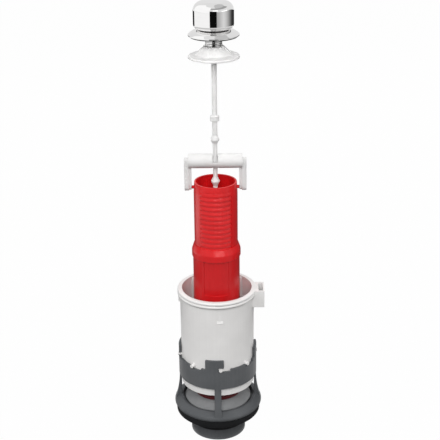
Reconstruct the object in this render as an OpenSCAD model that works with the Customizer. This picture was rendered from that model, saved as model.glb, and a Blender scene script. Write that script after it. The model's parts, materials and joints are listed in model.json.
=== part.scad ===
// Pull-knob flush valve for a toilet cistern, modelled in millimetres.
// The origin is the centre of the outlet spigot's lower end, and +Z points up.
// A chrome knob lifts a beaded rod, a bail, a telescopic overflow tube and the valve seal,
// inside a chamber that locks on to the outlet cage with a bayonet collar.

/* [Outlet spigot and flange] */
// Outside diameter of the outlet spigot
spigot_d = 57; // [54:0.5:60]
// Wall of the outlet spigot
spigot_wall = 3.5; // [2.5:0.1:4.2]
// Height of the spigot below the flange
spigot_h = 31; // [26:0.5:40]
// Diameter of the clamping flange
flange_d = 91; // [88:0.5:100]
// Height of the clamping flange
flange_h = 10; // [9:0.5:14]
// Radius of the rounded flange edge
flange_round = 3.6; // [2:0.1:4]
// Mean diameter of the raised sealing lip
seat_d = 60.8; // [58:0.2:62]
// Width of the raised sealing lip
seat_w = 1.6; // [1:0.1:2]
// Height of the sealing lip above the floor of its recess
seat_h = 2.4; // [1.5:0.1:3]
// Depth of the recess inside the flange
recess_depth = 5.5; // [5:0.1:6.5]
// Gap between the seal's edge and the wall of the recess
recess_gap = 2.6; // [1:0.1:2.6]

/* [Rubber washer] */
// Thickness of the rubber washer under the flange
washer_t = 7; // [4:0.5:9]
// Step from the flange edge in to the washer edge
washer_inset = 1.8; // [1:0.1:3]
// Length of the washer's sleeve on the spigot
washer_sleeve_h = 12; // [6:0.5:14]
// Wall of the washer's sleeve
washer_sleeve_wall = 1.6; // [1.2:0.1:2.4]
// Step in the spigot that holds the washer's sleeve
washer_step = 0.8; // [0.4:0.1:1.2]

/* [Cage and bayonet collar] */
// Height of the water windows between flange and collar
window_h = 27; // [24:0.5:36]
// Width of each cage post
post_w = 6.9; // [5:0.1:9]
// Step from the faces of the collar band in to a post
post_step = 0.3; // [0.2:0.05:0.5]
// Height of the sweep at the foot of each post
post_sweep_h = 26; // [6:0.5:27]
// Step from the flange edge in to the foot of each post
post_foot_step = 0.7; // [0.5:0.1:2]
// Height of the collar band
band_h = 22; // [18:0.5:28]
// Wall of the collar band
band_wall = 2.5; // [2:0.1:3.5]
// Height of the hook tabs above the collar band
hook_h = 10.6; // [9:0.1:16]
// Part of a hook tab that overhangs its stud, in degrees
hook_overhang = 8; // [7:0.5:10]
// Solid part of a hook tab, in degrees
hook_root = 19.5; // [14:0.5:22]
// Turn that frees the chamber from the hooks, in degrees
bayonet_turn = 12; // [11:0.5:14]

/* [Chamber] */
// Outside diameter of the chamber
chamber_d = 75; // [73:0.5:77]
// Wall of the chamber
chamber_wall = 2.1; // [1.6:0.1:2.3]
// Height of the chamber
chamber_h = 105.9; // [95:0.1:130]
// Length of the chamber that hangs below the collar band
chamber_drop = 8.9; // [5:0.1:10]
// Height of the beaded rim
rim_h = 6.6; // [5:0.1:9]
// Step from the chamber wall out to the rim
rim_proud = 2.5; // [2:0.1:4]
// Diameter of a bayonet stud
stud_d = 3.8; // [3:0.1:4.2]
// Length of a bayonet stud beyond the collar band
stud_proud = 0.8; // [0.5:0.1:2.5]
// Thickness of an inner guide rib
guide_w = 2.8; // [1.5:0.1:3]
// Depth of an inner guide rib
guide_depth = 2.5; // [1.5:0.1:4]
// Length of the side bracket along the rim
bracket_l = 22; // [16:0.5:28]
// Reach of the side bracket beyond the rim
bracket_reach = 8; // [7.2:0.1:12]
// Height of the side bracket
bracket_h = 18; // [12:0.5:24]
// Width of the slot in the side bracket
bracket_slot_w = 4.4; // [4.2:0.1:5]
// Length of the slot in the side bracket
bracket_slot_l = 18; // [10:0.5:19]

/* [Lifting barrel] */
// Wall of the barrel
barrel_wall = 1.55; // [1.3:0.05:2]
// Length of the barrel
barrel_len = 162; // [145:1:180]
// Diameter of the plate over the seal
plate_d = 48.5; // [48:0.5:56]
// Thickness of the plate over the seal
plate_t = 3; // [2:0.1:4]
// Height of the locking collar
collar_h = 12.5; // [9:0.5:16]
// Wall of the locking collar
collar_wall = 0.95; // [0.8:0.05:1.6]
// Height of the locking collar's sloping lip above the barrel
collar_lip = 6.2; // [4:0.1:8]
// Thickness of the sloping lip at its top edge
collar_edge = 0.5; // [0.3:0.05:0.9]
// Height of the recessed panel under the locking collar
panel_h = 36.5; // [25:0.5:45]
// Width of the recessed panel, in degrees
panel_angle = 64; // [40:1:80]
// Depth of the recessed panel
panel_depth = 0.6; // [0.3:0.05:0.8]
// Lift of the barrel in a flush
flush_stroke = 30; // [22:1:34]

/* [Seal] */
// Diameter of the valve seal
seal_d = 68.4; // [66:0.2:69]
// Height of the seal from its lip to its hub
seal_h = 7.7; // [6:0.1:9]
// Thickness of the seal at its clamped hub
seal_hub_t = 3; // [2:0.1:4]
// Thickness of the seal at its lip
seal_lip_t = 1.8; // [1.2:0.1:2.4]
// Length of the guide fins under the seal
fin_len = 37; // [34:0.5:38]
// Thickness of a guide fin
fin_w = 2; // [1.5:0.1:3]
// Radial depth of a guide fin
fin_depth = 7; // [5:0.5:9]

/* [Overflow tube] */
// Outside diameter of the overflow tube
tube_d = 43; // [41:0.2:43.4]
// Wall of the overflow tube
tube_wall = 2.3; // [2:0.1:3]
// Length of the overflow tube
tube_len = 119; // [110:0.5:130]
// Length of the overflow tube inside the barrel
tube_insert = 48; // [40:0.5:55]
// Step of the tapered mouth
mouth_taper = 0.7; // [0.3:0.1:1]
// Number of catch grooves on each face
groove_n = 13; // [8:1:13]
// Spacing of the catch grooves
groove_pitch = 4.8; // [4:0.1:5]
// Depth of a catch groove
groove_depth = 0.5; // [0.4:0.1:1]
// Height of the long slope of a catch groove
groove_slope = 2.4; // [1.5:0.1:3]
// Height of the short slope of a catch groove
groove_lead = 1.5; // [0.4:0.1:1.6]
// Width of the grooved faces, in degrees
groove_angle = 92; // [60:2:110]
// Section diameter of the sealing ring on the tube
ring_d = 1.6; // [1.4:0.1:1.8]

/* [Bail] */
// Diameter of the trunnion pins
pin_d = 2.6; // [2.6:0.1:3.6]
// Distance of the trunnion pins below the mouth
pin_drop = 6; // [5:0.1:9]
// Distance from the trunnion pins up to the crossbar
bail_h = 26.8; // [24:0.1:34]
// Diameter of the crossbar
bar_d = 14.2; // [13:0.1:16]
// Width of the bail's side plates
leg_w = 6.8; // [6.4:0.1:8]
// Thickness of the bail's side plates
leg_t = 4.5; // [3:0.1:6]
// Thickness of the rib inside each side plate
leg_rib = 2.3; // [0.8:0.1:3]
// Length of the boss that spaces a side plate from the tube
boss_l = 1.6; // [1.2:0.1:4]

/* [Pull rod] */
// Diameter of the upper rod
rod_d = 5; // [4.4:0.1:5.4]
// Diameter of the beaded lower rod
rod_low_d = 4.4; // [4:0.1:4.8]
// Diameter of the rod's beads
bead_d = 8.8; // [7.6:0.1:9]
// Height of a bead
bead_h = 8.8; // [6:0.1:9]
// Spacing of the beads
bead_pitch = 21.2; // [20:0.1:26]
// Height of the plain stop collar on the rod
stop_h = 5; // [3:0.1:7]
// Length of the rod below its last bead
tail_l = 7.2; // [5:0.1:9]
// Length of the rod from the crossbar to the knob
rod_reach = 128.6; // [120:0.2:190]

/* [Knob] */
// Diameter of the knob
knob_d = 38; // [34:0.5:44]
// Height of the knob
knob_h = 25.3; // [22:0.1:32]
// Rounding of the knob's top edge
knob_round = 8.5; // [5:0.1:9]
// Rounding of the knob's bottom edge
knob_foot_round = 4.5; // [2:0.1:5]
// Wall of the knob's shell
knob_wall = 1.6; // [1.2:0.1:2]
// Diameter of the opening under the knob
knob_mouth_d = 24; // [18:0.5:26]
// Depth of the rod's end in the knob
rod_grip = 17; // [12:0.2:20]

/* [Lid fitting] */
// Diameter of the escutcheon
escutcheon_d = 48; // [44:0.5:54]
// Height of the escutcheon
escutcheon_h = 5.9; // [5:0.1:9]
// Thickness of the escutcheon's edge
escutcheon_edge = 0.9; // [0.8:0.1:2]
// Wall of the hollow escutcheon
escutcheon_wall = 1.6; // [1.2:0.1:2]
// Diameter of the flat on top of the escutcheon
escutcheon_top_d = 26; // [20:0.5:28]
// Outside diameter of the threaded neck
neck_d = 15.8; // [15:0.1:17]
// Wall of the threaded neck
neck_wall = 1.9; // [1.5:0.1:2.4]
// Length of the threaded neck below the escutcheon
neck_len = 22.8; // [21.6:0.1:30]
// Thickness of the rubber washer on the lid
lid_washer_t = 1.3; // [0.8:0.1:2.5]
// Step from the escutcheon edge in to its washer
lid_washer_inset = 1.6; // [1:0.1:3]
// Diameter of the cone nut's disc
nut_d = 48.4; // [44:0.2:54]
// Thickness of the cone nut's disc
nut_disc_t = 2.3; // [1.8:0.1:3.5]
// Height of the cone nut
nut_h = 11.3; // [9:0.1:12]
// Diameter of the cone at its foot
cone_foot_d = 35; // [30:0.5:40]
// Wall of the cone
cone_wall = 2; // [1.4:0.1:3]
// Width of the flat ring on top of the cone
cone_top_w = 1.2; // [0.8:0.1:2]
// Length of the neck left free under the cone nut
neck_free = 1.8; // [1:0.1:4]

/* [Fits] */
// Gap between pieces that move on each other
run_gap = 0.3; // [0.2:0.05:0.4]
// Gap between pieces that are pushed together
push_gap = 0.1; // [0.05:0.05:0.15]
// Gap of the telescopic tube in the barrel
slide_gap = 0.25; // [0.2:0.05:0.3]

/* [Hidden] */
$fn = 96;
// Overlap that makes two shapes of one solid join
weld = 0.5;
// Extra length that carries a cut past the faces it opens
past = 1;
front = -90;
post_n = 4;
stud_n = 8;
guide_n = 4;
fin_n = 4;
edge_break = 0.8;

// Radii of the nested pieces
spigot_r = spigot_d / 2;
throat_r = spigot_r - spigot_wall;
flange_r = flange_d / 2;
chamber_r = chamber_d / 2;
bore_r = chamber_r - chamber_wall;
rim_r = chamber_r + rim_proud;
band_in_r = chamber_r + run_gap;
band_r = band_in_r + band_wall;
tube_r = tube_d / 2;
tube_bore_r = tube_r - tube_wall;
barrel_bore_r = tube_r + slide_gap;
barrel_r = barrel_bore_r + barrel_wall;
collar_r = barrel_r + push_gap + collar_wall;
recess_r = seal_d / 2 + recess_gap;
hub_r = barrel_bore_r - run_gap;
neck_r = neck_d / 2;
neck_bore_r = neck_r - neck_wall;
rod_r = rod_d / 2;
bead_r = bead_d / 2;

// Levels from the spigot's end upwards
flange_z = spigot_h;
flange_top = flange_z + flange_h;
recess_z = flange_top - recess_depth;
seat_z = recess_z + seat_h;
seal_z = seat_z + run_gap;
washer_z = flange_z - washer_t;
sleeve_z = washer_z - washer_sleeve_h;
band_z = flange_top + window_h;
band_top = band_z + band_h;
chamber_z = band_z - chamber_drop;
chamber_top = chamber_z + chamber_h;
barrel_z = seal_z + seal_h;
plate_top = barrel_z + plate_t;
barrel_top = barrel_z + barrel_len;
collar_top = barrel_top + collar_lip;
tube_z = barrel_top - tube_insert;
mouth_z = tube_z + tube_len;
pin_z = mouth_z - pin_drop;
bar_z = pin_z + bail_h;
knob_z = bar_z + rod_reach;
escutcheon_top = knob_z - run_gap;
escutcheon_z = escutcheon_top - escutcheon_h;
neck_z = escutcheon_z - neck_len;
nut_z = neck_z + neck_free;

// A plain ring between two radii, standing on the level z
module ring(inner, outer, z, height) {
    translate([0, 0, z])
        difference() {
            cylinder(h = height, r = outer);
            translate([0, 0, -past])
                cylinder(h = height + 2 * past, r = inner);
        }
}

// A ring's sector from one angle to another
module sector(inner, outer, z, height, from, to) {
    rotate([0, 0, from])
        translate([0, 0, z])
            rotate_extrude(angle = to - from)
                translate([inner, 0])
                    square([outer - inner, height]);
}

// Turns a drawing of radius and height so that its extrusion stands across the X axis
module upright(width) {
    rotate([90, 0, 0])
        linear_extrude(height = width, center = true)
            children();
}

// Copies set evenly around the axis, the first one at a given angle
module around(count, start) {
    for (i = [0 : count - 1])
        rotate([0, 0, start + i * 360 / count])
            children();
}

// Base cage

// Section of the spigot, the flange and the seat, drawn from the axis outwards
module base_section() {
    lip_in = (seat_d - seat_w) / 2;
    lip_out = (seat_d + seat_w) / 2;
    difference() {
        union() {
            translate([throat_r, 0])
                square([spigot_wall, flange_z + weld]);
            translate([throat_r, flange_z])
                square([flange_r - flange_round - throat_r, recess_z - flange_z]);
            translate([lip_in, recess_z - weld])
                square([seat_w, seat_h + weld]);
            flange_edge();
        }
        polygon([
            [throat_r - past, seat_z + past],
            [throat_r - past, flange_z - spigot_wall],
            [throat_r, flange_z - spigot_wall],
            [lip_in, recess_z],
            [lip_in, seat_z + past]
        ]);
        polygon([
            [throat_r - past, -past],
            [throat_r - past, edge_break + past],
            [throat_r, edge_break],
            [throat_r + edge_break, 0],
            [throat_r + edge_break, -past]
        ]);
        translate([spigot_r - washer_step, sleeve_z])
            square([washer_step + past, flange_z - sleeve_z]);
    }
}

// Rounded and sloping outer body of the flange
module flange_edge() {
    edge_r = flange_r - flange_round;
    shoulder_z = flange_z + flange_round;
    difference() {
        union() {
            translate([recess_r, flange_z])
                square([edge_r - recess_r, flange_round]);
            translate([edge_r, shoulder_z])
                circle(r = flange_round);
            polygon([
                [recess_r, shoulder_z],
                [recess_r, flange_top],
                [band_in_r + band_wall / 2, flange_top],
                [edge_r + flange_round * sin(30), shoulder_z + flange_round * cos(30)],
                [edge_r, shoulder_z]
            ]);
        }
        translate([recess_r, flange_z - flange_round])
            square([flange_r, flange_round]);
    }
}

// Section of a cage post, whose foot sweeps out and down into the flange
module post_section() {
    inner = band_in_r + post_step;
    outer = band_r - post_step;
    foot_z = flange_z + 1.5 * flange_round;
    sweep_top = flange_top + post_sweep_h;
    sweep_h = sweep_top - foot_z;
    sweep_w = max(flange_r - post_foot_step - outer, edge_break);
    sweep_r = (sweep_w * sweep_w + sweep_h * sweep_h) / (2 * sweep_w);
    translate([inner, foot_z])
        square([outer - inner, band_z + weld - foot_z]);
    difference() {
        translate([inner, foot_z])
            square([outer - inner + sweep_w, sweep_h]);
        translate([outer + sweep_r, sweep_top])
            circle(r = sweep_r);
    }
}

// One post of the cage, turned about the axis so that it follows the band's curve
module cage_post() {
    post_angle = 2 * asin(post_w / 2 / band_r);
    rotate([0, 0, -post_angle / 2])
        rotate_extrude(angle = post_angle)
            post_section();
}

// Gap between two hook tabs, open down to the band's top edge
module hook_gap() {
    sector(
        band_in_r - past, band_r + past, band_top, hook_h + past,
        hook_overhang - stud_half, 360 / post_n - hook_root - stud_half
    );
}

// Angles that one stud takes up at the collar
stud_half = asin((stud_d / 2 + run_gap) / band_in_r);
stud_angle = 4.5;

// Slot in which one stud turns, open at the band's top edge away from the hook
module stud_slot() {
    sector(
        band_in_r - past, band_r + past, band_top - stud_d / 2 - run_gap, stud_d + 2 * run_gap,
        -stud_half, bayonet_turn + stud_half
    );
}

module base_cage() {
    color("dimgray")
        difference() {
            union() {
                rotate_extrude()
                    base_section();
                ring(band_in_r, band_r, band_z, band_h + hook_h);
                around(post_n, front)
                    cage_post();
            }
            around(post_n, front + stud_angle)
                hook_gap();
            around(stud_n, front + stud_angle)
                stud_slot();
        }
}

// Rubber washer with a sleeve that centres it on the spigot
module base_washer() {
    inner = spigot_r - washer_step + push_gap;
    sleeve_r = inner + washer_sleeve_wall;
    outer = flange_r - washer_inset;
    color("#1c1d1f")
        rotate_extrude()
            difference() {
                union() {
                    translate([inner, washer_z])
                        square([outer - inner, washer_t]);
                    translate([inner, sleeve_z + push_gap])
                        square([sleeve_r - inner, washer_sleeve_h]);
                }
                translate([outer, washer_z])
                    rotate(45)
                        square(edge_break * sqrt(2), center = true);
            }
}

// Chamber

// Section of the chamber wall and its double-beaded rim
module chamber_section() {
    bead_half = rim_h / 4;
    translate([bore_r, chamber_z])
        square([chamber_wall, chamber_h]);
    translate([bore_r, chamber_top - rim_h])
        square([rim_r - bead_half - bore_r, rim_h]);
    for (level = [1, 3])
        translate([rim_r - bead_half, chamber_top - level * bead_half])
            circle(r = bead_half);
}

// Block on the rim with an upright slot for a hose clip
module side_bracket() {
    inner = bore_r;
    outer = rim_r + bracket_reach;
    wall = 1.4;
    difference() {
        translate([inner, -bracket_l / 2, chamber_top - edge_break - bracket_h])
            cube([outer - inner, bracket_l, bracket_h]);
        translate([outer - wall - bracket_slot_w, -bracket_slot_l / 2, chamber_top - bracket_h - rim_h])
            cube([bracket_slot_w, bracket_slot_l, bracket_h + 2 * rim_h]);
    }
}

// Small lug under the rim, opposite the bracket
module rim_lug() {
    lug_h = 8;
    lug_w = 9;
    translate([-rim_r + rim_h / 8, -lug_w / 2, chamber_top - rim_h - lug_h])
        cube([rim_proud + chamber_wall / 2, lug_w, lug_h + weld]);
}

// Small raised mark that lines the chamber up with its hook
module line_up_mark() {
    mark_w = 6.4;
    mark_h = 2.6;
    mark_proud = 0.8;
    mark_drop = 20.5;
    rotate([0, 0, front + stud_angle])
        translate([chamber_r - chamber_wall / 2, 0, chamber_top - mark_drop])
            upright(mark_w)
                polygon([
                    [0, 0],
                    [0, -mark_h],
                    [chamber_wall / 2 + mark_proud, -mark_h],
                    [chamber_wall / 2, 0]
                ]);
}

module chamber() {
    stud_len = band_r + stud_proud - bore_r;
    guide_z = plate_top + flush_stroke + run_gap + seal_hub_t;
    color("whitesmoke")
        union() {
            difference() {
                union() {
                    rotate_extrude()
                        chamber_section();
                    around(stud_n, front + stud_angle)
                        translate([bore_r, 0, band_top])
                            rotate([0, 90, 0])
                                cylinder(h = stud_len, d = stud_d);
                    side_bracket();
                    rim_lug();
                    line_up_mark();
                }
                translate([0, 0, chamber_z - past])
                    cylinder(h = chamber_h + 2 * past, r = bore_r);
            }
            around(guide_n, 45)
                translate([bore_r - guide_depth, -guide_w / 2, guide_z])
                    cube([guide_depth + chamber_wall / 2, guide_w, chamber_top - rim_h / 4 - guide_z]);
        }
}

// Lifting barrel

module stem_barrel() {
    panel_top = collar_top - collar_h - run_gap;
    color("firebrick")
        difference() {
            union() {
                ring(barrel_bore_r, barrel_r, barrel_z, barrel_len);
                ring(barrel_bore_r, plate_d / 2, barrel_z, plate_t);
            }
            for (side = [front, -front])
                sector(
                    barrel_r - panel_depth, barrel_r + past, panel_top - panel_h, panel_h,
                    side - panel_angle / 2, side + panel_angle / 2
                );
        }
}

// Ring that snaps over the barrel's top and guides the overflow tube
module lock_collar() {
    skirt_z = collar_top - collar_h;
    lip_top_r = barrel_bore_r + collar_edge;
    color("firebrick")
        rotate_extrude()
            difference() {
                translate([barrel_bore_r, skirt_z])
                    square([collar_r - barrel_bore_r, collar_h]);
                translate([barrel_bore_r - past, skirt_z - past])
                    square([barrel_r + push_gap - barrel_bore_r + past, collar_h - collar_lip + past]);
                polygon([
                    [lip_top_r, collar_top],
                    [lip_top_r, collar_top + past],
                    [collar_r + past, collar_top + past],
                    [collar_r + past, barrel_top],
                    [collar_r, barrel_top]
                ]);
            }
}

// Seal

// Soft ring clamped at its hub, with a conical lip that lands on the seat
module valve_seal() {
    inner = hub_r + push_gap;
    outer = seal_d / 2;
    shoulder = plate_d / 2;
    color("silver")
        rotate_extrude()
            polygon([
                [inner, barrel_z],
                [shoulder, barrel_z],
                [outer, seal_z + seal_lip_t],
                [outer, seal_z],
                [seat_d / 2 - seat_w, seal_z],
                [throat_r + run_gap, barrel_z - seal_hub_t],
                [inner, barrel_z - seal_hub_t]
            ]);
}

// Clip that clamps the seal and guides it in the throat
module seal_retainer() {
    clamp_r = throat_r - run_gap;
    clamp_t = 2.6;
    hub_wall = 2.4;
    hub_h = 9;
    top = barrel_z - seal_hub_t;
    inner = hub_r - hub_wall;
    color("firebrick")
        union() {
            ring(inner, clamp_r, top - clamp_t, clamp_t);
            ring(inner, hub_r, top - clamp_t, clamp_t + hub_h);
            intersection() {
                around(fin_n, 0)
                    translate([clamp_r - fin_depth, -fin_w / 2, top - clamp_t - fin_len + weld])
                        cube([fin_depth + past, fin_w, fin_len]);
                translate([0, 0, top - clamp_t - fin_len])
                    cylinder(h = fin_len + clamp_t, r = clamp_r);
            }
        }
}

// Overflow tube

// Section of the tube with its tapered mouth and the groove for its sealing ring
module tube_section() {
    groove_z = tube_z + 2 * ring_d;
    difference() {
        polygon([
            [tube_bore_r, tube_z],
            [tube_r, tube_z],
            [tube_r, pin_z - pin_d * 2],
            [tube_r - mouth_taper, mouth_z],
            [tube_bore_r, mouth_z]
        ]);
        translate([ring_seat_r, groove_z])
            square([tube_r, ring_d + 2 * push_gap]);
    }
}

ring_seat_r = barrel_bore_r - 2 * push_gap - ring_d;

// One catch groove on one face of the tube, steep above and sloping below
module catch_groove(level, side) {
    reach = 1 + past / groove_depth;
    rotate([0, 0, side - groove_angle / 2])
        rotate_extrude(angle = groove_angle)
            polygon([
                [tube_r - groove_depth, level],
                [tube_r + past, level - groove_slope * reach],
                [tube_r + past, level + groove_lead * reach]
            ]);
}

// Pin and spacing boss that carry one side plate of the bail
module trunnion() {
    boss_r = pin_d * 0.65;
    root = tube_bore_r + tube_wall / 3;
    translate([root, 0, pin_z])
        rotate([0, 90, 0]) {
            cylinder(h = tube_r + boss_l - root, r = boss_r);
            cylinder(h = leg_out_x - 2 * run_gap - root, d = pin_d);
        }
}

leg_in_x = tube_r + boss_l + run_gap;
leg_plate_x = leg_in_x + leg_rib;
leg_out_x = leg_plate_x + leg_t;

module overflow_tube() {
    first_groove = mouth_z - pin_drop;
    color("crimson")
        union() {
            difference() {
                rotate_extrude()
                    tube_section();
                for (i = [0 : groove_n - 1])
                    for (side = [front, -front])
                        catch_groove(first_groove - i * groove_pitch, side);
            }
            for (side = [0, 180])
                rotate([0, 0, side])
                    trunnion();
        }
}

// Rubber ring that seals the overflow tube in the barrel
module tube_seal_ring() {
    color("#1c1d1f")
        rotate_extrude()
            translate([ring_seat_r + push_gap + ring_d / 2, tube_z + 2.5 * ring_d + push_gap])
                circle(d = ring_d);
}

// Bail

// Outline of a side plate, with round ends at the pin and at the crossbar
module leg_outline(width) {
    circle(d = width);
    translate([-width / 2, 0])
        square([width, bail_h]);
    translate([0, bail_h])
        circle(d = width);
}

// One side plate with its inner rib and the eye for its pin
module bail_leg() {
    translate([leg_in_x, 0, pin_z])
        rotate([90, 0, 90])
            difference() {
                union() {
                    translate([0, 0, leg_rib])
                        linear_extrude(height = leg_t)
                            leg_outline(leg_w);
                    linear_extrude(height = leg_rib + weld)
                        leg_outline(leg_w - 2 * edge_break);
                }
                translate([0, 0, -past])
                    cylinder(h = leg_rib + leg_t + 2 * past, d = pin_d + 2 * run_gap);
            }
}

module bail() {
    slot_r = rod_low_d / 2 + run_gap;
    pocket_top = bar_z + bead_seat + bead_h / 2 + run_gap;
    color("whitesmoke")
        difference() {
            union() {
                translate([-leg_plate_x - weld, 0, bar_z])
                    rotate([0, 90, 0])
                        cylinder(h = 2 * (leg_plate_x + weld), d = bar_d);
                for (side = [0, 180])
                    rotate([0, 0, side])
                        bail_leg();
            }
            translate([0, 0, bar_z - bar_d])
                cylinder(h = 2 * bar_d, r = slot_r);
            translate([-slot_r, -bar_d, bar_z])
                cube([2 * slot_r, bar_d, bar_d]);
            translate([-slot_r, 0, bar_z - bar_d])
                cube([2 * slot_r, bar_d, 2 * bar_d]);
            translate([0, 0, bar_z - bar_d])
                cylinder(h = pocket_top - bar_z + bar_d, r = bead_r + run_gap);
        }
}

// Pull rod

// Height of the seated bead's middle above the crossbar's middle
bead_seat = 0.4;
// Beads above and below the seated one
upper_bead_z = bar_z + bead_seat + bead_pitch;
lower_bead_z = bar_z + bead_seat - bead_pitch;
stop_z = upper_bead_z + bead_pitch;
rod_top = knob_z + rod_grip;

// A bead made of two cones, foot to foot
module bead(level) {
    translate([0, 0, level - bead_h / 2])
        cylinder(h = bead_h / 2, r1 = rod_low_d / 2, r2 = bead_r);
    translate([0, 0, level])
        cylinder(h = bead_h / 2, r1 = bead_r, r2 = rod_low_d / 2);
}

module pull_rod() {
    rod_z = lower_bead_z - tail_l;
    color("whitesmoke")
        union() {
            translate([0, 0, rod_z])
                cylinder(h = upper_bead_z - rod_z, d = rod_low_d);
            translate([0, 0, upper_bead_z])
                cylinder(h = rod_top - upper_bead_z, d = rod_d);
            for (level = [lower_bead_z, bar_z + bead_seat, upper_bead_z])
                bead(level);
            translate([0, 0, stop_z - stop_h / 2])
                cylinder(h = stop_h, r = bead_r);
        }
}

// Knob

// Outline of the knob from its axis outwards, with both edges rounded and drawn in by a wall
module knob_outline(inset) {
    outer = knob_d / 2 - inset;
    low = knob_z + inset;
    high = knob_z + knob_h - inset;
    foot = knob_foot_round - inset;
    head = knob_round - inset;
    translate([0, low + foot])
        square([outer, high - head - low - foot]);
    translate([0, low])
        square([outer - foot, high - head - low]);
    translate([0, low + foot])
        square([outer - head, high - low - foot]);
    for (edge = [[outer - foot, low + foot, foot], [outer - head, high - head, head]])
        intersection() {
            translate([edge[0], edge[1]])
                circle(r = edge[2]);
            translate([0, low])
                square([outer, high - low]);
        }
}

module knob_shell() {
    color("gainsboro")
        rotate_extrude()
            difference() {
                knob_outline(0);
                knob_outline(knob_wall);
                translate([0, knob_z - past])
                    square([knob_mouth_d / 2, knob_wall + 2 * past]);
            }
}

// Moulded core that fills the shell and holds the rod's end
module knob_core() {
    color("whitesmoke")
        rotate_extrude()
            difference() {
                union() {
                    knob_outline(knob_wall + push_gap);
                    translate([0, knob_z])
                        square([knob_mouth_d / 2 - push_gap, knob_wall + weld]);
                }
                translate([0, knob_z - past])
                    square([rod_r + push_gap, rod_grip + push_gap + past]);
            }
}

// Lid fitting

// Dome of the escutcheon, from the flat under the knob out to its edge
module dome_section() {
    outer = escutcheon_d / 2;
    flat_r = escutcheon_top_d / 2;
    dome_w = outer - flat_r;
    dome_h = escutcheon_h - escutcheon_edge;
    dome_r = (dome_w * dome_w + dome_h * dome_h) / (2 * dome_h);
    translate([neck_bore_r, escutcheon_z])
        square([flat_r - neck_bore_r, escutcheon_h]);
    intersection() {
        translate([flat_r, escutcheon_top - dome_r])
            circle(r = dome_r);
        translate([neck_bore_r, escutcheon_z])
            square([outer - neck_bore_r, escutcheon_h]);
    }
}

// Section of the escutcheon: a hollow dome on a hollow neck
module escutcheon_section() {
    hollow_in = neck_r + escutcheon_wall;
    hollow_out = escutcheon_d / 2 - 2 * escutcheon_wall;
    translate([neck_bore_r, neck_z])
        square([neck_wall, neck_len + escutcheon_h]);
    difference() {
        dome_section();
        intersection() {
            translate([0, -escutcheon_wall])
                dome_section();
            translate([hollow_in, escutcheon_z - escutcheon_h])
                square([hollow_out - hollow_in, 2 * escutcheon_h]);
        }
    }
}

module escutcheon() {
    color("gainsboro")
        rotate_extrude()
            escutcheon_section();
}

// Plastic sleeve in the neck that guides the rod
module guide_bush() {
    bush_bore = rod_r + run_gap;
    head_h = 1.2;
    color("whitesmoke")
        difference() {
            union() {
                translate([0, 0, neck_z])
                    cylinder(h = neck_len + escutcheon_h / 2, r = neck_bore_r - push_gap);
                translate([0, 0, neck_z - head_h])
                    cylinder(h = head_h, r = neck_r - neck_wall / 2);
            }
            translate([0, 0, neck_z - head_h - past])
                cylinder(h = neck_len + escutcheon_h + head_h + 2 * past, r = bush_bore);
        }
}

module lid_washer() {
    color("#1c1d1f")
        ring(neck_r + push_gap, escutcheon_d / 2 - lid_washer_inset, escutcheon_z - lid_washer_t, lid_washer_t);
}

// Nut with a hollow cone that centres it in the lid's hole
module cone_nut() {
    bore = neck_r + run_gap;
    foot_r = cone_foot_d / 2;
    cone_top_r = bore + cone_top_w;
    cone_z = nut_z + nut_disc_t;
    color("whitesmoke")
        rotate_extrude()
            difference() {
                polygon([
                    [bore, nut_z],
                    [nut_d / 2, nut_z],
                    [nut_d / 2, cone_z],
                    [foot_r, cone_z + edge_break],
                    [cone_top_r, nut_z + nut_h],
                    [bore, nut_z + nut_h]
                ]);
                polygon([
                    [bore + cone_wall, nut_z - past],
                    [foot_r - cone_wall, nut_z - past],
                    [foot_r - cone_wall, nut_z + nut_disc_t / 2],
                    [bore + cone_wall, nut_z + nut_h - 3 * cone_wall]
                ]);
            }
}

base_cage();
base_washer();
chamber();
stem_barrel();
lock_collar();
valve_seal();
seal_retainer();
overflow_tube();
tube_seal_ring();
bail();
pull_rod();
knob_shell();
knob_core();
escutcheon();
guide_bush();
lid_washer();
cone_nut();
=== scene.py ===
# %% [markdown]
# A toilet flush valve that is worked by a pull knob, seen as in a catalogue picture.
# The solids, their sizes and their joints come packed from CAD, in metres, with +Z up.
# This lesson keeps that frame, makes finer meshes for the pieces that the eye rests on,
# and gives every piece a moulded, rubber or chrome finish made of shader nodes.

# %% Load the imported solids
import json
from math import atan2, cos, degrees, pi, radians, sin

import bmesh
import bpy
from mathutils import Matrix, Vector


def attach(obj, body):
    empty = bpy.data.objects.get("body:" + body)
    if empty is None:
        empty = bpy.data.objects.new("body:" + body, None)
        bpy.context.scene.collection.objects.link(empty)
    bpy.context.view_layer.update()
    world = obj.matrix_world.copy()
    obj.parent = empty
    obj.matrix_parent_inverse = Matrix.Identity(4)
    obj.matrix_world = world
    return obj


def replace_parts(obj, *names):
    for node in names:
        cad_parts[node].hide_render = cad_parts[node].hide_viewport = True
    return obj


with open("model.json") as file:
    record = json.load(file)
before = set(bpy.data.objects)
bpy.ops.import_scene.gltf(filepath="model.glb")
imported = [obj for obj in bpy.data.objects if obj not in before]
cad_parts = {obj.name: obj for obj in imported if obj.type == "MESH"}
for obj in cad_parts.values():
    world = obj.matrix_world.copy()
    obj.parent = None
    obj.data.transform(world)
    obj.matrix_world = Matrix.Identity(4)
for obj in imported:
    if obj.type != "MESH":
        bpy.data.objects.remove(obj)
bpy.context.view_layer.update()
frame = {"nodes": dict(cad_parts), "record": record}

MM = 0.001

# %% [markdown]
# The photograph looks slightly down on the valve with a long lens: the rims near the top are thin
# ellipses and the ones at the base are much rounder. One focal length, one height and one tilt
# explain all of them, and the picture also leans a little to the left. A camera could be aimed
# with a constraint, but its three axes are written out here so that the lean is exact. The side
# of the picture and the focal length are both in pixels.

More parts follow.
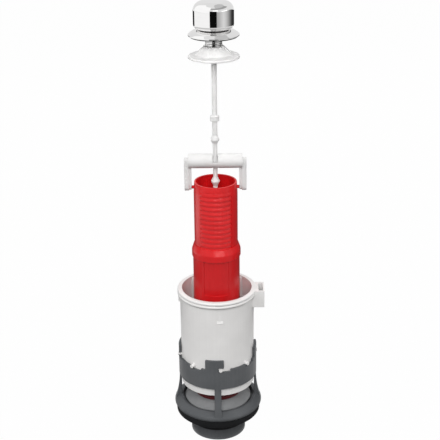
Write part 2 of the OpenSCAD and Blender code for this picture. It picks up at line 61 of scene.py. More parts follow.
# %% Camera
PICTURE = 440
FOCAL_LENGTH = 1044
TILT = radians(22.26)
LEAN = radians(0.63)
CAMERA_PLACE = Vector((0.004, -0.956, 0.629))

ahead = Vector((0, cos(TILT), -sin(TILT)))
across = Vector((1, 0, 0))
upward = across.cross(ahead)
right = cos(LEAN) * across - sin(LEAN) * upward
upright = sin(LEAN) * across + cos(LEAN) * upward

camera = bpy.data.objects.new("camera", bpy.data.cameras.new("camera"))
camera.data.lens = camera.data.sensor_width * FOCAL_LENGTH / PICTURE
camera.matrix_world = Matrix.LocRotScale(
    CAMERA_PLACE, Matrix((right, upright, -ahead)).transposed(), None
)
bpy.context.scene.collection.objects.link(camera)
bpy.context.scene.camera = camera
print("lens in mm:", round(camera.data.lens, 1))

# %% [markdown]
# Every finish below is a small net of shader nodes. Nodes can be placed by hand, but sums of masks
# read better as sums, so one class wraps a socket and turns Python's operators into Math nodes.
# A second class owns the tree and adds any node: its settings first, then its sockets.

# %% Shader maths
class Wire:
    """An output socket that takes part in sums as a number does."""

    def __init__(self, net, socket):
        self.net = net
        self.socket = socket

    def maths(self, operation, *values):
        return self.net.node(
            "ShaderNodeMath", {"operation": operation}, dict(enumerate(values))
        )

    def __add__(self, other):
        return self.maths("ADD", self, other)

    def __sub__(self, other):
        return self.maths("SUBTRACT", self, other)

    def __rsub__(self, other):
        return self.maths("SUBTRACT", other, self)

    def __mul__(self, other):
        return self.maths("MULTIPLY", self, other)

    def most(self, other):
        return self.maths("MAXIMUM", self, other)

    def within(self, low, high):
        """Goes from 0 at low to 1 at high in a smooth step."""
        return self.net.node(
            "ShaderNodeMapRange",
            {"interpolation_type": "SMOOTHSTEP"},
            {"Value": self, "From Min": low, "From Max": high},
        )

    __radd__ = __add__
    __rmul__ = __mul__


class Net:
    """A node tree that is written as expressions."""

    def __init__(self, tree):
        self.tree = tree
        tree.nodes.clear()

    def node(self, kind, settings=None, sockets=None, out=0):
        """Adds a node and gives back one of its outputs, or nothing from an output node."""
        made = self.tree.nodes.new(kind)
        for name, value in (settings or {}).items():
            setattr(made, name, value)
        for name, value in (sockets or {}).items():
            if isinstance(value, Wire):
                self.tree.links.new(value.socket, made.inputs[name])
            else:
                made.inputs[name].default_value = value
        return Wire(self, made.outputs[out]) if made.outputs else None


print("shader maths ready")

# %% [markdown]
# Injection moulded plastic is never quite one colour or one gloss. The melt leaves faint clouds,
# the steel of the mould leaves a fine skin, and the draw out of the mould leaves upright streaks.
# All of it is read from Object coordinates, so it stays put when a piece moves or is seen
# from another side.

# %% Texture helpers
def place_on_piece(net, stretch=(1, 1, 1)):
    """The point on the piece, in metres, stretched to draw a pattern out along an axis."""
    return net.node(
        "ShaderNodeMapping",
        None,
        {
            "Vector": net.node("ShaderNodeTexCoord", out="Object"),
            "Scale": stretch,
        },
    )


def clouds(net, scale, detail, stretch=(1, 1, 1)):
    """Soft noise between 0 and 1, with scale features to the metre."""
    return net.node(
        "ShaderNodeTexNoise",
        None,
        {"Vector": place_on_piece(net, stretch), "Scale": scale, "Detail": detail},
    )


def blend_colours(net, share, first, second):
    """A colour between two, by a share from 0 to 1."""
    ends = [end if isinstance(end, Wire) else (*end, 1) for end in (first, second)]
    return net.node(
        "ShaderNodeMix", {"data_type": "RGBA"}, {0: share, 6: ends[0], 7: ends[1]}, out=2
    )


def relief(net, height, depth):
    """A bump whose full height is depth metres."""
    return net.node("ShaderNodeBump", None, {"Height": height, "Distance": depth})


def finish_of(name):
    """A new material and the net that will hold its nodes."""
    material = bpy.data.materials.new(name)
    material.use_nodes = True
    return material, Net(material.node_tree)


print("texture helpers ready")

# %% [markdown]
# The moulded plastics share one recipe and differ in colour, gloss and grain. The upright
# streaks are noise stretched along Z, and the fine skin is noise with features under a millimetre.
# Clouds and streaks make the gloss uneven about its mean. On the red pieces a painted shade darkens
# the colour below a wavy line near the foot, standing for the shade that the chamber casts there.

# %% A recipe for moulded plastic
CLOUD_SCALE, SKIN_SCALE, FLECK_SCALE = 45, 1400, 2600
STREAK_STRETCH = (900, 900, 18)
CLOUD_ROUGH, STREAK_ROUGH, FLECK_ROUGH = 0.10, 0.08, 0.10
PLASTIC_IOR = 1.49
# Painted shade at the foot of the red pieces: its dark red, how far its edge waves, and the levels
# in metres over which it fades into the plain colour.
FOOT_SHADE_COLOUR = (0.10, 0.007, 0.009)
FOOT_SHADE_WAVE = 4 * MM
FOOT_SHADE_LINE = (56 * MM, 62 * MM)


def moulded_plastic(name, pale, deep, gloss, skin_depth, speck=0.0, shaded_foot=False):
    """Moulded plastic: clouded colour, uneven gloss, a fine skin, draw streaks, and on request a
    painted shade at the foot.
    """
    material, net = finish_of(name)
    cloud = clouds(net, CLOUD_SCALE, 3)
    streak = clouds(net, 1, 2, STREAK_STRETCH)
    skin = clouds(net, SKIN_SCALE, 2)
    share = (cloud * 0.75 + streak * 0.25).within(0.3, 0.7)
    fleck = clouds(net, FLECK_SCALE, 1).within(0.62, 0.72) * speck
    mean = (CLOUD_ROUGH + STREAK_ROUGH) / 2
    uneven = cloud * CLOUD_ROUGH + streak * STREAK_ROUGH + fleck * FLECK_ROUGH
    colour = blend_colours(net, share + fleck, pale, deep)
    # Painted shade: below a wavy line near the foot the colour turns dark red, for the shade inside
    # the chamber.
    if shaded_foot:
        height = net.node("ShaderNodeSeparateXYZ", None, {0: place_on_piece(net)}, out=2)
        out_of_shade = (height + cloud * FOOT_SHADE_WAVE).within(*FOOT_SHADE_LINE)
        colour = blend_colours(net, out_of_shade, FOOT_SHADE_COLOUR, colour)
    shader = net.node(
        "ShaderNodeBsdfPrincipled",
        None,
        {
            "Base Color": colour,
            "Roughness": uneven + (gloss - mean),
            "IOR": PLASTIC_IOR,
            "Normal": relief(net, skin * 0.7 + streak * 0.3, skin_depth),
        },
    )
    net.node("ShaderNodeOutputMaterial", None, {"Surface": shader})
    print(name, "roughness:", gloss)
    return material


# %% [markdown]
# The white of the chamber is a little warmer and paler than that of the bail, the rod and the nut.
# The red is almost pure, because any white in it would turn pink under soft light. The grey of the
# outlet cage has a coarser skin and dark flecks, as filled plastics do.

# %% Moulded plastics
FINE_SKIN = 0.012 * MM
COARSE_SKIN = 0.025 * MM

white_plastic = moulded_plastic(
    "white_plastic", (0.73, 0.725, 0.72), (0.69, 0.685, 0.68), 0.36, FINE_SKIN
)
chamber_white = moulded_plastic(
    "chamber_white", (0.84, 0.83, 0.82), (0.79, 0.78, 0.77), 0.38, FINE_SKIN
)
# Both reds carry the painted shade at the foot, where the chamber shades them.
red_plastic = moulded_plastic(
    "red_plastic", (0.70, 0.010, 0.013), (0.62, 0.008, 0.010), 0.30, FINE_SKIN, shaded_foot=True
)
barrel_red = moulded_plastic(
    "barrel_red", (0.61, 0.0095, 0.0125), (0.54, 0.0075, 0.0095), 0.30, FINE_SKIN, shaded_foot=True
)
grey_plastic = moulded_plastic(
    "grey_plastic", (0.096, 0.101, 0.107), (0.077, 0.082, 0.087), 0.46, COARSE_SKIN, speck=0.25
)

# %% [markdown]
# Rubber is matt and close to black, with a pale bloom where the mould release has dried. Silicone
# is the same kind of surface in a light grey, a little smoother and with dust specks on it.

# %% Rubber and silicone
BLOOM_SCALE, MATT_SKIN_SCALE, DUST_SCALE = 90, 2200, 3600
BLOOM_ROUGH, SKIN_ROUGH = 0.14, 0.08


def soft_rubber(name, deep, bloom, gloss, skin_depth, sheen):
    """Rubber: a dark ground, a cloudy bloom and a fine matt skin."""
    material, net = finish_of(name)
    cloud = clouds(net, BLOOM_SCALE, 4)
    skin = clouds(net, MATT_SKIN_SCALE, 3)
    dust = clouds(net, DUST_SCALE, 1).within(0.66, 0.76)
    share = cloud.within(0.35, 0.8) * 0.7 + dust * 0.3
    mean = (BLOOM_ROUGH + SKIN_ROUGH) / 2
    shader = net.node(
        "ShaderNodeBsdfPrincipled",
        None,
        {
            "Base Color": blend_colours(net, share, deep, bloom),
            "Roughness": cloud * BLOOM_ROUGH + skin * SKIN_ROUGH + (gloss - mean),
            "Specular IOR Level": sheen,
            "Normal": relief(net, skin, skin_depth),
        },
    )
    net.node("ShaderNodeOutputMaterial", None, {"Surface": shader})
    print(name, "roughness:", gloss)
    return material


black_rubber = soft_rubber(
    "black_rubber", (0.008, 0.0085, 0.0095), (0.016, 0.016, 0.018), 0.62, 0.03 * MM, 0.25
)
grey_silicone = soft_rubber(
    "grey_silicone", (0.21, 0.215, 0.22), (0.27, 0.275, 0.28), 0.48, 0.02 * MM, 0.4
)

# %% [markdown]
# The knob and the escutcheon are chromed. Chrome is nearly a mirror, so what it shows is the room,
# and its own detail is slight: a soft haze of wipe marks in its gloss and the gentle waviness
# that plating leaves on a polished core.

# %% Chrome
WIPE_STRETCH = (60, 60, 420)
HAZE_SCALE, WAVE_SCALE = 160, 70
WAVE_DEPTH = 0.02 * MM
BRIGHT_PLATE, WIPED_PLATE = (0.91, 0.905, 0.90), (0.87, 0.865, 0.865)
PLATE_ROUGH, WIPE_ROUGH = 0.015, 0.03


def bright_chrome(name):
    """Chrome plate: a mirror with wipe marks and a slight waviness."""
    material, net = finish_of(name)
    wipe = clouds(net, 1, 3, WIPE_STRETCH)
    haze = clouds(net, HAZE_SCALE, 3)
    wave = clouds(net, WAVE_SCALE, 1)
    marks = (wipe * 0.6 + haze * 0.4).within(0.35, 0.75)
    shader = net.node(
        "ShaderNodeBsdfPrincipled",
        None,
        {
            "Base Color": blend_colours(net, marks, BRIGHT_PLATE, WIPED_PLATE),
            "Metallic": 1.0,
            "Roughness": marks * WIPE_ROUGH + PLATE_ROUGH,
            "Normal": relief(net, wave, WAVE_DEPTH),
        },
    )
    net.node("ShaderNodeOutputMaterial", None, {"Surface": shader})
    print(name, "roughness:", PLATE_ROUGH)
    return material


chrome = bright_chrome("chrome")

# %% [markdown]
# Each solid belongs to a body and to a material slot, and the imported record says to which. The
# solids that stay as they are get their finish by replacing what fills their slot. The chamber has
# a white of its own, as pieces from two batches differ, and the barrel is a deeper red than the
# tube.

# %% Finishes on the solids
BODY_OF = {
    node: body
    for body, nodes in frame["record"]["behaviour"]["bodies"].items()
    for node in nodes
}
SLOT_OF = {entry["node"]: entry["material_slot"] for entry in frame["record"]["subparts"]}
FINISH_OF = {
    "white_plastic": white_plastic,
    "red_plastic": red_plastic,
    "grey_plastic": grey_plastic,
    "black_rubber": black_rubber,
    "grey_silicone": grey_silicone,
    "chrome": chrome,
}
finish_on = {node: FINISH_OF[slot] for node, slot in SLOT_OF.items()}
finish_on["chamber"] = chamber_white
finish_on["stem_barrel"] = barrel_red

for node, solid in frame["nodes"].items():
    solid.data.materials.clear()
    solid.data.materials.append(finish_on[node])
print("solids with a finish:", len(frame["nodes"]))

# %% [markdown]
# A finished piece takes over from one solid: it rides on the same body and uses the same slot.
# Its doubles are merged, its faces turned outwards, and it is smooth except at creases. The
# weighted normals keep broad faces flat up to the small rounds along their edges.

# %% Standing in for a solid
WELD = 0.002 * MM
CREASE = radians(40)


def take_over(shape, piece_name, node):
    """Makes a bmesh the visible piece of a node."""
    bmesh.ops.remove_doubles(shape, verts=shape.verts, dist=WELD)
    bmesh.ops.recalc_face_normals(shape, faces=shape.faces)
    for face in shape.faces:
        face.smooth = True
    for edge in shape.edges:
        edge.smooth = edge.calc_face_angle(0) < CREASE
    mesh = bpy.data.meshes.new(piece_name)
    shape.to_mesh(mesh)
    shape.free()
    mesh.materials.append(finish_on[node])
    piece = bpy.data.objects.new(piece_name, mesh)
    bpy.context.scene.collection.objects.link(piece)
    piece.modifiers.new("even_shading", "WEIGHTED_NORMAL").keep_sharp = True
    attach(piece, BODY_OF[node])
    print(piece_name, "faces:", len(mesh.polygons))
    return piece


print("edges stay sharp from", round(degrees(CREASE)), "degrees")

# %% [markdown]
# Most of the valve is turned: a section is spun once round the upright axis. The section is a chain
# of points in millimetres, radius first, and a third number rounds that corner. A vertex bevel
# does the rounding while the section is still a wire, where it is quick and exact. A chain that
# starts and ends on the axis stays open, and any other is closed.

# %% Turning a section
SPIN_STEPS = 128
ROUND_SEGMENTS = 6
FULL_TURN = 2 * pi


def drawn_chain(shape, section, closed):
    """Draws a section as edges in the plane of X and Z, and gives back its corners."""
    corners = [shape.verts.new((radius * MM, 0, height * MM)) for radius, height, *_ in section]
    links = list(zip(corners, corners[1:]))
    if closed:
        links.append((corners[-1], corners[0]))
    for link in links:
        shape.edges.new(link)
    return corners


def turned(piece_name, node, section, closed=True):
    """A turned piece that replaces one node."""
    shape = bmesh.new()
    for corner, point in zip(drawn_chain(shape, section, closed), section):
        for rounding in point[2:]:
            bmesh.ops.bevel(
                shape,
                geom=[corner],
                offset=rounding * MM,
                offset_type="OFFSET",
                segments=ROUND_SEGMENTS,
                profile=0.5,
                affect="VERTICES",
                material=-1,
            )
    bmesh.ops.spin(
        shape,
        geom=shape.verts[:] + shape.edges[:],
        cent=(0, 0, 0),
        axis=(0, 0, 1),
        angle=FULL_TURN,
        steps=SPIN_STEPS,
        use_merge=True,
    )
    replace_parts(take_over(shape, piece_name, node), node)


print("steps in a full turn:", SPIN_STEPS)

# %% [markdown]
# The knob is a drawn shell, chromed, with a wide round over its top edge and a tighter one below.
# Its section runs from the axis inside the shell, round the open mouth, and back to the axis
# on the crown, so the spin closes it into one wall.

# %% Knob
turned(
    "chrome_knob",
    "knob_shell",
    [
        (0, 452.0),
        (17.4, 452.0, 6.9),
        (17.4, 429.9, 2.9),
        (12.0, 429.9),
        (12.0, 428.3),
        (19.0, 428.3, 4.5),
        (19.0, 453.6, 8.5),
        (0, 453.6),
    ],
    closed=False,
)

# %% [markdown]
# The escutcheon covers the hole in the cistern's lid: a low chromed dome, hollow below, on a hollow
# neck. The dome is one large corner round between its flat top and its thin edge, and the hollow
# under it is a smaller one.

# %% Escutcheon
turned(
    "chrome_escutcheon",
    "escutcheon",
    [
        (6.0, 399.3, 0.3),
        (7.9, 399.3, 0.4),
        (7.9, 422.1, 0.3),
        (9.5, 422.1),
        (9.5, 426.4),
        (17.22, 426.4, 4.2),
        (20.8, 424.14),
        (20.8, 422.1),
        (24.0, 422.1, 0.3),
        (24.0, 423.0),
        (19.64, 428.0, 6.6),
        (13.0, 428.0),
        (6.0, 428.0, 0.5),
    ],
)

# %% [markdown]
# The neck carries a screw thread for the nut. A modifier could make one, but a small triangle that
# is spun while it climbs by one pitch a turn gives the same form in one step. Its two ends are then
# filled, so that it is a closed body.

# %% Thread on the neck
THREAD_PITCH = 1.5
THREAD_TURNS = 13
THREAD_START = 400.4
TURN_STEPS = 48
TOOTH = ((7.7, -0.62), (8.12, 0.0), (7.7, 0.62))

thread = bmesh.new()
drawn_chain(thread, [(radius, THREAD_START + rise) for radius, rise in TOOTH], closed=True)
bmesh.ops.spin(
    thread,
    geom=thread.verts[:] + thread.edges[:],
    cent=(0, 0, 0),
    axis=(0, 0, 1),
    dvec=(0, 0, THREAD_PITCH * MM / TURN_STEPS),
    angle=FULL_TURN * THREAD_TURNS,
    steps=TURN_STEPS * THREAD_TURNS,
)
bmesh.ops.holes_fill(thread, edges=thread.edges)
take_over(thread, "neck_thread", "escutcheon")

# %% [markdown]
# The white parts of the lid fitting: a nut whose hollow cone centres it in the hole of the lid,
# and the bush that guides the rod inside the neck. The nut's disc has a soft rim and its cone
# flows into the disc in a small fillet.

# %% Cone nut and guide bush
turned(
    "white_cone_nut",
    "cone_nut",
    [
        (8.2, 401.1, 0.3),
        (10.2, 401.1, 0.3),
        (10.2, 406.4),
        (15.5, 402.25),
        (15.5, 401.1, 0.3),
        (24.2, 401.1, 0.5),
        (24.2, 403.4, 0.9),
        (17.5, 404.2, 1.5),
        (9.4, 412.4, 0.5),
        (8.2, 412.4, 0.3),
    ],
)
turned(
    "white_guide_bush",
    "guide_bush",
    [
        (2.8, 398.1, 0.3),
        (6.95, 398.1, 0.4),
        (6.95, 399.3, 0.2),
        (5.9, 399.3),
        (5.9, 425.05, 0.3),
        (2.8, 425.05, 0.3),
    ],
)

# %% [markdown]
# The pull rod is moulded with three beads, each two cones foot to foot, and a plain stop collar.
# Any bead can be pressed into the bail, which sets the rod's length. It is a chain from axis
# to axis, and it is a little thicker above the beads than between them.

# %% Pull rod
ROD_FOOT, ROD_HEAD = 271.7, 445.3
LOW_ROD, HIGH_ROD = 2.2, 2.5
BEAD_LEVELS = (278.9, 300.1, 321.3)
BEAD_HALF = 4.4
BEAD_RADIUS = 4.4
STOP_FOOT, STOP_HEAD = 340.0, 345.0

rod_section = [(0, ROD_FOOT), (LOW_ROD, ROD_FOOT, 0.5)]
for level in BEAD_LEVELS:
    rod_section += [
        (LOW_ROD, level - BEAD_HALF, 0.5),
        (BEAD_RADIUS, level, 0.5),
        (LOW_ROD if level < BEAD_LEVELS[-1] else HIGH_ROD, level + BEAD_HALF, 0.5),
    ]
rod_section += [
    (HIGH_ROD, STOP_FOOT, 0.3),
    (BEAD_RADIUS, STOP_FOOT, 0.5),
    (BEAD_RADIUS, STOP_HEAD, 0.5),
    (HIGH_ROD, STOP_HEAD, 0.3),
    (HIGH_ROD, ROD_HEAD, 0.5),
    (0, ROD_HEAD),
]
turned("white_pull_rod", "pull_rod", rod_section, closed=False)

# %% [markdown]
# The soft rings are moulded with no sharp edge at all: the washer under the escutcheon, the washer
# with its sleeve under the flange, and the cone of silicone that closes the outlet.

# %% Washers and valve seal
turned(
    "rubber_lid_washer",
    "lid_washer",
    [(8.0, 420.8, 0.3), (22.4, 420.8, 0.5), (22.4, 422.1, 0.5), (8.0, 422.1, 0.3)],
)
turned(
    "rubber_base_washer",
    "base_washer",
    [
        (27.8, 12.1, 0.3),
        (29.4, 12.1, 0.6),
        (29.4, 24.0, 0.9),
        (43.7, 24.0, 1.4),
        (43.7, 31.0, 0.7),
        (27.8, 31.0, 0.3),
    ],
)
turned(
    "silicone_valve_seal",
    "valve_seal",
    [
        (21.55, 45.9, 0.2),
        (24.25, 45.9, 0.8),
        (34.2, 40.0, 0.9),
        (34.2, 38.2, 0.6),
        (28.8, 38.2, 0.6),
        (25.3, 42.9, 0.6),
        (21.55, 42.9, 0.2),
    ],
)

# %% [markdown]
# The locking collar snaps over the barrel. Its sloping lip guides the overflow tube and catches
# the light as a thin line, so its corners are rounded only a little.

# %% Locking collar
turned(
    "red_lock_collar",
    "lock_collar",
    [
        (23.4, 201.6, 0.2),
        (24.35, 201.6, 0.3),
        (24.35, 207.9, 0.8),
        (22.25, 214.1, 0.15),
        (21.75, 214.1, 0.15),
        (21.75, 207.9),
        (23.4, 207.9),
    ],
)

# %% [markdown]
# The rest of the mouldings have windows, hooks, grooves and brackets, so they aren't turned. Their
# CAD meshes are already right, but every edge is knife sharp, which no mould can make. Each gets
# a copy: its loose triangles are merged, flat faces joined, and its sharp edges bevelled. A face
# can't hold a hole, so a flat ring that was joined into one face would be filled across. Upright
# cuts through the axis come first, as seams that the joining leaves alone.

# %% Softening a moulding
FLAT = radians(0.4)
SHARP = radians(30)
SECTOR_CUTS = 16
SECTOR_START = radians(5)
EDGE_SEGMENTS = 2


def cut_in_sectors(shape):
    """Cuts a mesh by upright planes through the axis and marks the cuts as seams."""
    for index in range(SECTOR_CUTS):
        turn = SECTOR_START + pi * index / SECTOR_CUTS
        cut = bmesh.ops.bisect_plane(
            shape,
            geom=shape.verts[:] + shape.edges[:] + shape.faces[:],
            dist=WELD,
            plane_co=(0, 0, 0),
            plane_no=(sin(turn), cos(turn), 0),
        )
        for part in cut["geom_cut"]:
            if isinstance(part, bmesh.types.BMEdge):
                part.seam = True


def softened(piece_name, node, rounding, keep_sharp=()):
    """A copy of a node's mesh with small rounds along its sharp edges, which replaces the node.

    keep_sharp holds boxes, each a lowest and a highest corner in mm, whose edges stay as they are.
    """

    def is_rounded(edge):
        middle = (edge.verts[0].co + edge.verts[1].co) / 2 / MM
        return edge.calc_face_angle(0) > SHARP and not any(
            all(low <= at <= high for low, at, high in zip(lowest, middle, highest))
            for lowest, highest in keep_sharp
        )

    shape = bmesh.new()
    shape.from_mesh(frame["nodes"][node].data)
    bmesh.ops.remove_doubles(shape, verts=shape.verts, dist=WELD)
    cut_in_sectors(shape)
    bmesh.ops.dissolve_limit(
        shape, angle_limit=FLAT, verts=shape.verts, edges=shape.edges, delimit={"SEAM"}
    )
    bmesh.ops.bevel(
        shape,
        geom=[edge for edge in shape.edges if is_rounded(edge)],
        offset=rounding * MM,
        offset_type="OFFSET",
        segments=EDGE_SEGMENTS,
        profile=0.5,
        affect="EDGES",
        material=-1,
    )
    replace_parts(take_over(shape, piece_name, node), node)


print("edges are rounded from", round(degrees(SHARP)), "degrees")

# %% [markdown]
# Thick mouldings get the larger rounds. A few places stay as the solid has them, because edges lie
# so close there that their rounds would overlap and tear the mesh: the chamber's beaded rim, its
# line-up mark, and the heads of the cage's four posts where they meet the band.

# %% Softened mouldings
RIM_ZONE = ((-60, -60, 155), (60, 60, 170))
MARK_ZONE = ((-4, -40, 140), (9, -36, 147))
POST_HEADS = [
    ((36, -8, 66), (42, 8, 70)),
    ((-42, -8, 66), (-36, 8, 70)),
    ((-8, 36, 66), (8, 42, 70)),
    ((-8, -42, 66), (8, -36, 70)),
]

softened("white_bail", "bail", 0.35)
softened("red_overflow_tube", "overflow_tube", 0.15)
softened("red_stem_barrel", "stem_barrel", 0.2)
softened("red_seal_retainer", "seal_retainer", 0.2)
softened("white_chamber", "chamber", 0.25, [RIM_ZONE, MARK_ZONE])
softened("grey_base_cage", "base_cage", 0.3, POST_HEADS)

# %% [markdown]
# The stage is a plain white floor. It gives off white to the camera and to mirrors, and keeps a
# share of its own diffuse shade, so the valve still throws a soft shadow on it. To diffuse light
# it is a dark grey, which keeps its bounce from washing out the undersides.

# %% Floor
FLOOR_HALF = 5.0
FLOOR_DROP = 0.2 * MM
FLOOR_SHARE = 0.93
FLOOR_WHITE = 1.06
FLOOR_GREY = 0.08


def seen_directly(net):
    """1 for rays from the camera, mirrors or clear stuff, and 0 for diffuse light."""
    kinds = ("Is Camera Ray", "Is Glossy Ray", "Is Transmission Ray")
    rays = [net.node("ShaderNodeLightPath", out=kind) for kind in kinds]
    return rays[0].most(rays[1]).most(rays[2])


def white_floor():
    """A floor that is white to the eye and dark grey to diffuse light."""
    material, net = finish_of("floor_white")
    shade = net.node(
        "ShaderNodeBsdfDiffuse", None, {"Color": (FLOOR_GREY, FLOOR_GREY, FLOOR_GREY, 1)}
    )
    glow = net.node("ShaderNodeEmission", None, {"Strength": FLOOR_WHITE})
    mixed = net.node(
        "ShaderNodeMixShader", None, {0: seen_directly(net) * FLOOR_SHARE, 1: shade, 2: glow}
    )
    net.node("ShaderNodeOutputMaterial", None, {"Surface": mixed})
    return material


def stage_piece(name, shape, material):
    """An object of the studio, which isn't part of the valve."""
    mesh = bpy.data.meshes.new(name)
    shape.to_mesh(mesh)
    shape.free()
    mesh.materials.append(material)
    made = bpy.data.objects.new(name, mesh)
    bpy.context.scene.collection.objects.link(made)
    return made


sheet = bmesh.new()
bmesh.ops.create_grid(sheet, x_segments=1, y_segments=1, size=FLOOR_HALF)
bmesh.ops.translate(sheet, verts=sheet.verts, vec=(0, 0, -FLOOR_DROP))
stage_piece("floor", sheet, white_floor())
print("floor half side in m:", FLOOR_HALF)

# %% [markdown]
# The world is a white room. The camera sees it as white as the floor, so that no horizon shows in
# a low view. Mirrors see it a little darker, and to diffuse light it is a weak fill from all sides,
# which leaves it to the lamps to shape the valve.

# %% World
SKY_FILL = 0.48
SKY_MIRRORED = 0.8
WHITE = (1, 1, 1, 1)

world = bpy.data.worlds.new("studio")
world.use_nodes = True
bpy.context.scene.world = world
sky = Net(world.node_tree)
sky_level = (
    seen_directly(sky) * (SKY_MIRRORED - SKY_FILL)
    + sky.node("ShaderNodeLightPath", out="Is Camera Ray") * (1 - SKY_MIRRORED)
    + SKY_FILL
)
sky_light = sky.node("ShaderNodeBackground", None, {"Color": WHITE, "Strength": sky_level})
sky.node("ShaderNodeOutputWorld", None, {"Surface": sky_light})
print("sky fill:", SKY_FILL)

# %% [markdown]
# A chrome knob in a white room looks like white plastic. A photographer stands dark cards around
# it, and their mirror images draw its shape. These cards are curved walls around the valve. Only
# glossy rays see them, so they neither shade the valve nor show in the picture, and they aren't
# sampled as lamps, which would only add noise. Turns are counted in degrees from the camera's side,
# to the right. A card's shade is kept on its vertices, so one card can grade from grey to black.

# %% Making a card
CARD_STEPS = 24
GRADED_STEPS = 106
NUDGE = 1e-6


def value_at(stations, turn):
    """The value at a turn, between stations that each give a turn and a value."""
    for (low, first), (high, second) in zip(stations, stations[1:]):
        if turn <= high:
            return first + (second - first) * (turn - low) / (high - low)
    return stations[-1][1]


def card_glow(name):
    """A material that gives off its vertices' shade, except to light that met a matt surface."""
    material, net = finish_of(name)
    shade = net.node("ShaderNodeAttribute", {"attribute_name": "shade"}, out="Fac")
    from_matt = net.node("ShaderNodeLightPath", out="Diffuse Depth").within(0, 1)
    glow = net.node(
        "ShaderNodeEmission", None, {"Color": WHITE, "Strength": shade * (1 - from_matt)}
    )
    net.node("ShaderNodeOutputMaterial", None, {"Surface": glow})
    material.cycles.emission_sampling = "NONE"
    return material


def graded_card(name, shades, foot, head, crest=(), steps=GRADED_STEPS):
    """A curved card that only shiny surfaces see, from foot to head, each a radius and a level.

    shades are stations along the card, and so is crest, the levels of a head that isn't level.
    """
    shape = bmesh.new()
    shade_layer = shape.verts.layers.float.new("shade")
    from_turn, to_turn = radians(shades[0][0]), radians(shades[-1][0])
    side = [
        shape.verts.new((sin(from_turn) * reach, -cos(from_turn) * reach, level))
        for reach, level in (foot, head)
    ]
    edge = shape.edges.new(side)
    bmesh.ops.spin(
        shape,
        geom=side + [edge],
        cent=(0, 0, 0),
        axis=(0, 0, 1),
        angle=to_turn - from_turn,
        steps=steps,
    )
    for vert in shape.verts:
        past_start = (atan2(vert.co.x, -vert.co.y) - from_turn + NUDGE) % FULL_TURN
        turn = degrees(from_turn + past_start)
        vert[shade_layer] = value_at(shades, turn)
        if crest and vert.co.z > foot[1] + NUDGE:
            vert.co.z = value_at(crest, turn)
    made = stage_piece(name, shape, card_glow(name))
    made.visible_camera = False
    made.visible_diffuse = False
    made.visible_transmission = False
    made.visible_shadow = False
    print(name, "turns:", shades[0][0], "to", shades[-1][0])


def card(name, turns, foot, head, shade):
    """A card of one shade."""
    graded_card(name, [(turn, shade) for turn in turns], foot, head, steps=CARD_STEPS)


# %% [markdown]
# Around the knob stand a black stripe in front, a white card on the left, and one long card round
# the right and the back that grades from grey to black. Its crest falls towards the back, so that
# it doesn't cut the crown's reflection. Grey cards above and below tint the dome, and two small
# bright ones are the windows that show as white patches on the knob's shoulder.

# %% Cards for the chrome
CHROME_WALL = 0.36
SPOT_WALL = CHROME_WALL - 0.01
ROUND_SHADES = (
    (18, 0.39),
    (33, 0.50),
    (46, 0.64),
    (58, 0.74),
    (72, 0.62),
    (87, 0.42),
    (104, 0.19),
    (118, 0.05),
    (145, 0.015),
    (160, 0.06),
    (172, 0.55),
    (188, 0.55),
    (199, 0.06),
    (214, 0.01),
    (230, 0.004),
)
ROUND_CREST = ((18, 0.50), (105, 0.50), (150, 0.395), (230, 0.395))

card("card_stripe", (-20, 18), (CHROME_WALL, 0.315), (CHROME_WALL, 0.565), 0.004)
graded_card("card_round", ROUND_SHADES, (CHROME_WALL, 0.32), (CHROME_WALL, 0.50), ROUND_CREST)
card("card_left", (-130, -20), (CHROME_WALL, 0.43), (CHROME_WALL, 1.25), 1.05)
card("card_below", (0, 360), (0.06, 0.33), (0.26, 0.33), 0.6)
card("card_arc", (-18, 110), (CHROME_WALL, 0.71), (CHROME_WALL, 0.95), 0.38)
card("card_above", (15, 165), (CHROME_WALL, 0.95), (0.06, 1.2), 0.56)
card("spot_near", (-4, 26), (SPOT_WALL, 0.565), (SPOT_WALL, 0.65), 1.4)
card("spot_right", (46, 84), (SPOT_WALL, 0.505), (SPOT_WALL, 0.56), 1.3)

# %% [markdown]
# The plastics are glossy enough to mirror the floor. Low cards hold that down, a soft strip on the
# left puts a highlight along the red tube, a dark ring keeps the floor out of the washer and the
# spigot, and one small bright card is the glint on the locking collar.

# %% Cards for the plastics
LOW_WALL = 0.28
TUBE_WALL = LOW_WALL - 0.005
GLINT_WALL = 0.6
TUBE_SHADES = ((-128, 1.0), (-112, 1.55), (-82, 1.55), (-66, 0.7))

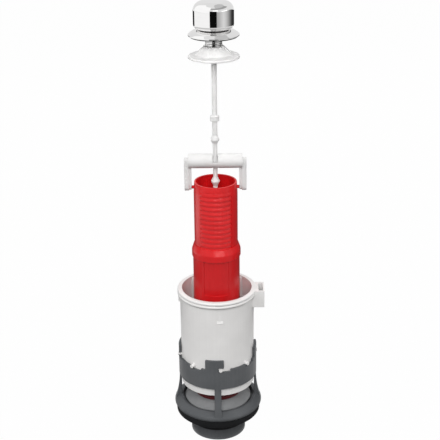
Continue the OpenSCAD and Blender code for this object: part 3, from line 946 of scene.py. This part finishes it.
card("card_low_front", (-75, 75), (LOW_WALL, 0.0), (LOW_WALL, 0.2), 0.5)
card("card_low_back", (75, 285), (LOW_WALL, 0.0), (LOW_WALL, 0.24), 0.1)
graded_card(
    "card_tube_left", TUBE_SHADES, (TUBE_WALL, 0.105), (TUBE_WALL, 0.19), steps=CARD_STEPS
)
card("card_under", (0, 360), (0.031, 0.0004), (0.11, 0.0004), 0.15)
card("glint", (-7, 37), (GLINT_WALL, 0.30), (GLINT_WALL, 0.42), 6.0)

# %% [markdown]
# Four soft boxes light the valve. The one in front stands high enough to leave the seat inside the
# cage in shade, the two at the sides keep the flanks of the white mouldings from going grey, and
# the one behind does the same for the back. Three weak lamps with narrow grids reach the nut's
# cone, which the escutcheon shades from the others.

# %% Lamps
VALVE_MIDDLE = (0, 0, 0.2)
NUT_CONE = (0, 0, 0.41)
NUT_LAMP_SIDE = 0.12
NUT_GRID = 24
OPEN_SPREAD = 180


def soft_box(name, place, aim, side, power, spread=OPEN_SPREAD):
    """A square lamp at a place, turned towards a point; a grid narrows its spread in degrees."""
    lamp = bpy.data.lights.new(name, "AREA")
    lamp.size = side
    lamp.energy = power
    lamp.spread = radians(spread)
    made = bpy.data.objects.new(name, lamp)
    made.location = place
    made.rotation_euler = (Vector(aim) - Vector(place)).to_track_quat("-Z", "Y").to_euler()
    made.visible_glossy = False
    bpy.context.scene.collection.objects.link(made)
    print(name, "lamp in watts:", power)


soft_box("front", (-0.05, -1.45, 1.25), VALVE_MIDDLE, 0.8, 15.5)
soft_box("left", (-1.5, -0.7, 1.35), VALVE_MIDDLE, 0.9, 12.5)
soft_box("right", (1.5, -0.7, 1.35), VALVE_MIDDLE, 0.9, 10.0)
soft_box("back", (0.1, 1.55, 0.95), VALVE_MIDDLE, 0.9, 11.0)
soft_box("nut_front", (0, -0.6, 0.5), NUT_CONE, NUT_LAMP_SIDE, 0.007, NUT_GRID)
soft_box("nut_left", (-0.5, -0.34, 0.5), NUT_CONE, NUT_LAMP_SIDE, 0.016, NUT_GRID)
soft_box("nut_right", (0.5, -0.34, 0.5), NUT_CONE, NUT_LAMP_SIDE, 0.016, NUT_GRID)

# %% [markdown]
# The closing cell sets the view transform.

# %% View transform
bpy.context.scene.view_settings.view_transform = "Standard"
